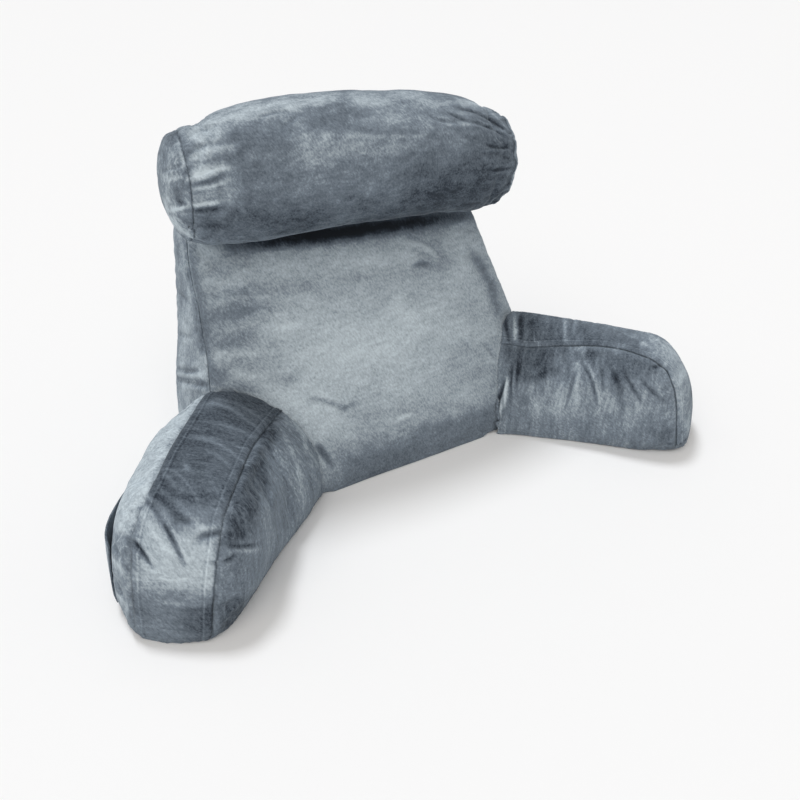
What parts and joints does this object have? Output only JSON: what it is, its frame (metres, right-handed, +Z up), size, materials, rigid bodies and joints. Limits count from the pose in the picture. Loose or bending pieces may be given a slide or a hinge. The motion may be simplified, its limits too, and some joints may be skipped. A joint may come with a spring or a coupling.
{
  "type": "reading pillow with arms and neck roll",
  "caption": "Velour reading pillow: a leaning crowned back cushion, two splayed banded arms, a gathered neck roll and a side pocket on one arm.",
  "frame": {"origin": "middle of the back cushion's flat underside, on the surface that the pillow stands on", "axes": "+Z up; the front panel faces -Y and leans back towards +Y; +X is to the right seen from the front; the arm with the pocket is on -X"},
  "size_m": [0.7878, 0.4483, 0.4316],
  "materials": {
    "velour_panel": "short pile velour, slate grey",
    "velour_gusset": "short pile velour, slate grey, nap brushed light",
    "velour_band": "short pile velour, slate grey, nap brushed dark",
    "velour_roll": "short pile velour, slate grey, mottled nap"
  },
  "bodies": {
    "root": {"back_cushion": "velour_panel", "back_gusset": "velour_gusset", "arm_left_cushion": "velour_panel", "arm_left_band": "velour_band", "arm_left_pocket": "velour_gusset", "arm_right_cushion": "velour_panel", "arm_right_band": "velour_band", "neck_roll_cushion": "velour_roll", "neck_roll_end_left": "velour_roll", "neck_roll_end_right": "velour_roll"}
  },
  "joints": []
}
